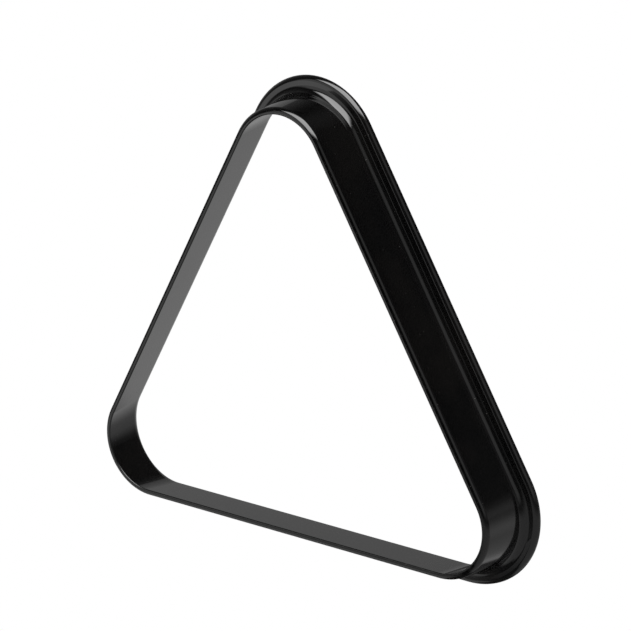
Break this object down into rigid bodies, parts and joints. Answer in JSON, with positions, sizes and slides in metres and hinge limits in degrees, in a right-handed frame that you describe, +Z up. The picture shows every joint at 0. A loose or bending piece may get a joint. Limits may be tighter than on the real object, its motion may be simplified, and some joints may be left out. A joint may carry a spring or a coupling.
{
  "type": "triangle rack",
  "caption": "Moulded triangular ball rack with rounded corners; a leaning wall flares outwards into a flat brim for the fingers.",
  "frame": {"origin": "under the middle of the footprint, on the plane of the foot that stands on the cloth", "axes": "+X across the rack, along its base leg; +Y towards the apex; +Z up from the foot to the brim"},
  "size_m": [0.3232, 0.293, 0.035],
  "materials": {
    "moulding": "glossy black moulded ABS"
  },
  "bodies": {
    "root": {"rack_moulding": "moulding"}
  },
  "joints": []
}
